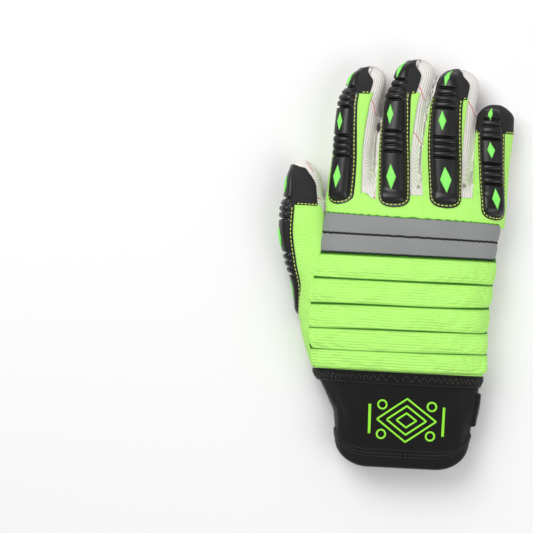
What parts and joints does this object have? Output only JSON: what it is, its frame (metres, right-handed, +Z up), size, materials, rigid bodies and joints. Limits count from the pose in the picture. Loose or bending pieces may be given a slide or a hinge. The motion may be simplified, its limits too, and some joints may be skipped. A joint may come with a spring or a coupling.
{
  "type": "impact glove",
  "caption": "Padded work glove with moulded finger guards, pleated high-visibility back, corded cotton palm and short cuff with a hook-and-loop tab.",
  "frame": {"origin": "middle of the glove's bounding box in plan, on the surface that it lies on", "axes": "+Y from the wrist to the fingertips, +X towards the little finger, +Z up out of the back of the hand"},
  "size_m": [0.1392, 0.249, 0.0366],
  "materials": {
    "cotton": "white cotton with raised lengthwise cords",
    "hi_vis_fabric": "fluorescent yellow-green ribbed fabric, matt",
    "pleat_fabric": "fluorescent yellow-green padded fabric with fine cross ribs, matt",
    "cap_leather": "black grained leather, half matt",
    "guard_rubber": "black moulded rubber, satin",
    "diamond_rubber": "bright green moulded rubber, satin",
    "reflective": "grey retroreflective cloth, smooth",
    "neoprene": "black neoprene faced with knit, matt",
    "hook_loop": "charcoal hook-and-loop fabric, rough"
  },
  "bodies": {
    "root": {"palm_front": "cotton", "hand_back": "hi_vis_fabric", "thumb_panel": "hi_vis_fabric", "tip_cap_index": "cap_leather", "guard_index": "guard_rubber", "diamond_index_base": "diamond_rubber", "diamond_index_mid": "diamond_rubber", "diamond_index_tip": "diamond_rubber", "tip_cap_middle": "cap_leather", "guard_middle": "guard_rubber", "diamond_middle_base": "diamond_rubber", "diamond_middle_mid": "diamond_rubber", "diamond_middle_tip": "diamond_rubber", "tip_cap_ring": "cap_leather", "guard_ring": "guard_rubber", "diamond_ring_base": "diamond_rubber", "diamond_ring_mid": "diamond_rubber", "diamond_ring_tip": "diamond_rubber", "tip_cap_little": "cap_leather", "guard_little": "guard_rubber", "diamond_little_base": "diamond_rubber", "diamond_little_mid": "diamond_rubber", "diamond_little_tip": "diamond_rubber", "tip_cap_thumb": "cap_leather", "guard_thumb": "guard_rubber", "diamond_thumb_base": "diamond_rubber", "diamond_thumb_mid": "diamond_rubber", "diamond_thumb_tip": "diamond_rubber", "back_pleat_1": "pleat_fabric", "back_pleat_2": "pleat_fabric", "back_pleat_3": "pleat_fabric", "back_pleat_4": "pleat_fabric", "back_pleat_5": "pleat_fabric", "reflective_strip_lower": "reflective", "reflective_strip_upper": "reflective", "cuff": "neoprene", "cuff_top_band": "neoprene", "closure_base_patch": "hook_loop", "closure_tab": "hook_loop"}
  },
  "joints": []
}
